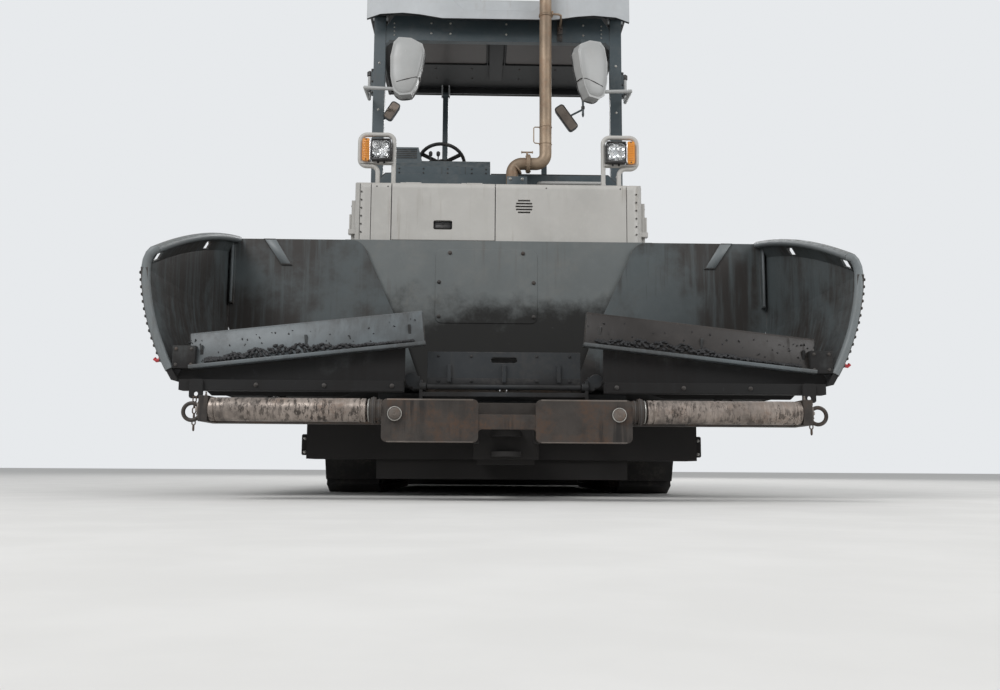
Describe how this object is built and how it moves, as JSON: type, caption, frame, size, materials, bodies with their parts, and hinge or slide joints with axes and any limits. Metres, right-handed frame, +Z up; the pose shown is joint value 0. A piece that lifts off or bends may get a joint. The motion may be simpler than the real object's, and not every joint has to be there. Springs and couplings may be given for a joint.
{
  "type": "asphalt paver",
  "caption": "Compact asphalt paver on tracks, with a folding hopper, push rollers, an open platform under a folding roof and an extending screed.",
  "frame": {"origin": "on the road, at the middle of the machine's length and width", "axes": "+Z up, the front (push rollers and hopper) faces -Y, +X to the right of someone facing the front"},
  "size_m": [3.268, 5.0044, 3.75],
  "materials": {
    "slate_paint": "semi-gloss",
    "dark_paint": "matt",
    "grey_paint": "semi-gloss",
    "wing_paint": "matt, worn",
    "roof_paint": "semi-gloss",
    "worn_steel": "worn",
    "cast": "rough",
    "rod_chrome": "polished",
    "exhaust_steel": "heat stained",
    "black_plastic": "matt",
    "amber": "gloss",
    "grey_plastic": "matt",
    "seat_vinyl": "matt",
    "liner": "gloss"
  },
  "bodies": {
    "machine": {"chassis_frame": "dark_paint", "front_box": "dark_paint", "hopper_wall": "wing_paint", "tunnel": "dark_paint", "conveyors": "worn_steel", "engine_block": "cast", "body_tanks": "slate_paint", "hood_shell": "grey_paint", "lamp_guards": "grey_paint", "headlamps": "black_plastic", "indicators": "amber", "exhaust_elbow": "exhaust_steel", "platform": "slate_paint", "bulkhead": "slate_paint", "console": "slate_paint", "seat_frames": "dark_paint", "seat_cushions": "seat_vinyl", "rear_frame": "slate_paint", "track_left": "cast", "track_right": "cast", "track_frames": "dark_paint", "track_wheels": "cast", "auger_frame": "dark_paint"},
    "push_beam": {"push_beam": "worn_steel", "coupling": "dark_paint"},
    "push_roller_left": {"push_roller_left": "worn_steel"},
    "push_roller_right": {"push_roller_right": "worn_steel"},
    "apron": {"apron": "dark_paint"},
    "wing_left": {"wing_left": "wing_paint", "chain_left": "cast"},
    "wing_right": {"wing_right": "wing_paint", "chain_right": "cast"},
    "wing_barrel_left": {"wing_barrel_left": "slate_paint"},
    "wing_barrel_right": {"wing_barrel_right": "slate_paint"},
    "wing_rod_left": {"wing_rod_left": "rod_chrome"},
    "wing_rod_right": {"wing_rod_right": "rod_chrome"},
    "hood_flap": {"hood_flap": "grey_paint"},
    "hood_door_left": {"hood_door_left": "grey_paint"},
    "hood_door_right": {"hood_door_right": "grey_paint"},
    "canopy": {"canopy_frame": "slate_paint", "mirrors": "grey_plastic"},
    "roof": {"roof": "roof_paint", "roof_liner": "liner"},
    "rear_posts": {"rear_posts": "slate_paint"},
    "exhaust_stack": {"exhaust_stack": "exhaust_steel"},
    "steering_wheel": {"steering_wheel": "black_plastic"},
    "auger_left": {"auger_left": "cast"},
    "auger_right": {"auger_right": "cast"},
    "tow_sliders": {"tow_sliders": "dark_paint"},
    "screed": {"tow_arms": "slate_paint", "screed_main": "slate_paint"},
    "screed_left": {"screed_left": "slate_paint"},
    "screed_right": {"screed_right": "slate_paint"},
    "lift_barrels": {"lift_barrels": "slate_paint"},
    "lift_rods": {"lift_rods": "rod_chrome"}
  },
  "joints": [
    {"name": "push_beam_pivot", "type": "hinge", "parent": "machine", "child": "push_beam", "pos_m": [0, -2.12, 0.24], "axis": [0, 0, 1], "range_deg": [-4, 4]},
    {"name": "push_roller_left_spin", "type": "hinge", "parent": "push_beam", "child": "push_roller_left", "pos_m": [-0.8735, -2.4525, 0.36], "axis": [1, 0, 0], "continuous": true},
    {"name": "push_roller_right_spin", "type": "hinge", "parent": "push_beam", "child": "push_roller_right", "pos_m": [0.8735, -2.4525, 0.36], "axis": [1, 0, 0], "continuous": true},
    {"name": "apron_hinge", "type": "hinge", "parent": "machine", "child": "apron", "pos_m": [0, -1.939, 0.5], "axis": [-1, 0, 0], "range_deg": [0, 60]},
    {"name": "wing_left_hinge", "type": "hinge", "parent": "machine", "child": "wing_left", "pos_m": [-0.42, -1.315, 0.53], "axis": [0, 1, 0], "range_deg": [0, 45]},
    {"name": "wing_barrel_left_pivot", "type": "hinge", "parent": "machine", "child": "wing_barrel_left", "pos_m": [-0.63, -1.39, 0.235], "axis": [0, 1, 0], "range_deg": [0, 41.52]},
    {"name": "wing_rod_left_slide", "type": "slide", "parent": "wing_barrel_left", "child": "wing_rod_left", "axis": [-0.9165, 0, 0.4001], "range_m": [0, 0.27395]},
    {"name": "wing_right_hinge", "type": "hinge", "parent": "machine", "child": "wing_right", "pos_m": [0.42, -1.315, 0.53], "axis": [0, -1, 0], "range_deg": [0, 45]},
    {"name": "wing_barrel_right_pivot", "type": "hinge", "parent": "machine", "child": "wing_barrel_right", "pos_m": [0.63, -1.39, 0.235], "axis": [0, -1, 0], "range_deg": [0, 41.52]},
    {"name": "wing_rod_right_slide", "type": "slide", "parent": "wing_barrel_right", "child": "wing_rod_right", "axis": [0.9165, 0, 0.4001], "range_m": [0, 0.27395]},
    {"name": "hood_flap_hinge", "type": "hinge", "parent": "machine", "child": "hood_flap", "pos_m": [-0.35, -0.32, 1.9355], "axis": [1, 0, 0], "range_deg": [-80, 0]},
    {"name": "hood_door_left_hinge", "type": "hinge", "parent": "machine", "child": "hood_door_left", "pos_m": [-0.9425, -0.312, 1.5], "axis": [0, 0, 1], "range_deg": [0, 100]},
    {"name": "hood_door_right_hinge", "type": "hinge", "parent": "machine", "child": "hood_door_right", "pos_m": [0.9425, -0.312, 1.5], "axis": [0, 0, -1], "range_deg": [0, 100]},
    {"name": "canopy_fold", "type": "hinge", "parent": "machine", "child": "canopy", "pos_m": [0, 0.38, 2.1], "axis": [-1, 0, 0], "range_deg": [0, 55]},
    {"name": "roof_level", "type": "hinge", "parent": "canopy", "child": "roof", "pos_m": [0, 0.38, 3.37], "axis": [1, 0, 0], "range_deg": [0, 55]},
    {"name": "rear_posts_pivot", "type": "hinge", "parent": "machine", "child": "rear_posts", "pos_m": [0, 1.8, 2.1], "axis": [-1, 0, 0], "range_deg": [0, 55]},
    {"name": "stack_fold", "type": "hinge", "parent": "machine", "child": "exhaust_stack", "pos_m": [0.21, 0.13, 2.22], "axis": [1, 0, 0], "range_deg": [0, 80]},
    {"name": "steering", "type": "hinge", "parent": "machine", "child": "steering_wheel", "pos_m": [-0.41, 0.68, 2.395], "axis": [0, 0.6428, 0.766], "range_deg": [-120, 120]},
    {"name": "auger_left_spin", "type": "hinge", "parent": "machine", "child": "auger_left", "pos_m": [-0.43, 1.52, 0.32], "axis": [1, 0, 0], "continuous": true},
    {"name": "auger_right_spin", "type": "hinge", "parent": "machine", "child": "auger_right", "pos_m": [0.43, 1.52, 0.32], "axis": [1, 0, 0], "continuous": true},
    {"name": "levelling_slide", "type": "slide", "parent": "machine", "child": "tow_sliders", "axis": [0, 0, 1], "range_m": [0, 0.06]},
    {"name": "screed_lift", "type": "hinge", "parent": "tow_sliders", "child": "screed", "pos_m": [0, -0.4, 0.72], "axis": [1, 0, 0], "range_deg": [0, 8]},
    {"name": "screed_left_slide", "type": "slide", "parent": "screed", "child": "screed_left", "axis": [-1, 0, 0], "range_m": [0, 0.75]},
    {"name": "screed_right_slide", "type": "slide", "parent": "screed", "child": "screed_right", "axis": [1, 0, 0], "range_m": [0, 0.75]},
    {"name": "lift_barrels_pivot", "type": "hinge", "parent": "machine", "child": "lift_barrels", "pos_m": [0, 1.58, 1.345], "axis": [1, 0, 0], "range_deg": [0, 10.31]},
    {"name": "lift_rods_slide", "type": "slide", "parent": "lift_barrels", "child": "lift_rods", "axis": [0, -0.3145, 0.9492], "range_m": [0, 0.28817]}
  ],
  "couplings": [
    {"joint": "wing_barrel_left_pivot", "follows": "wing_left_hinge", "ratio": 0.92253},
    {"joint": "wing_rod_left_slide", "follows": "wing_left_hinge", "m_per_rad": 0.34879},
    {"joint": "wing_barrel_right_pivot", "follows": "wing_right_hinge", "ratio": 0.92253},
    {"joint": "wing_rod_right_slide", "follows": "wing_right_hinge", "m_per_rad": 0.34879},
    {"joint": "roof_level", "follows": "canopy_fold", "ratio": 1},
    {"joint": "rear_posts_pivot", "follows": "canopy_fold", "ratio": 1},
    {"joint": "lift_barrels_pivot", "follows": "screed_lift", "ratio": 1.2893},
    {"joint": "lift_rods_slide", "follows": "screed_lift", "m_per_rad": 2.0638}
  ]
}
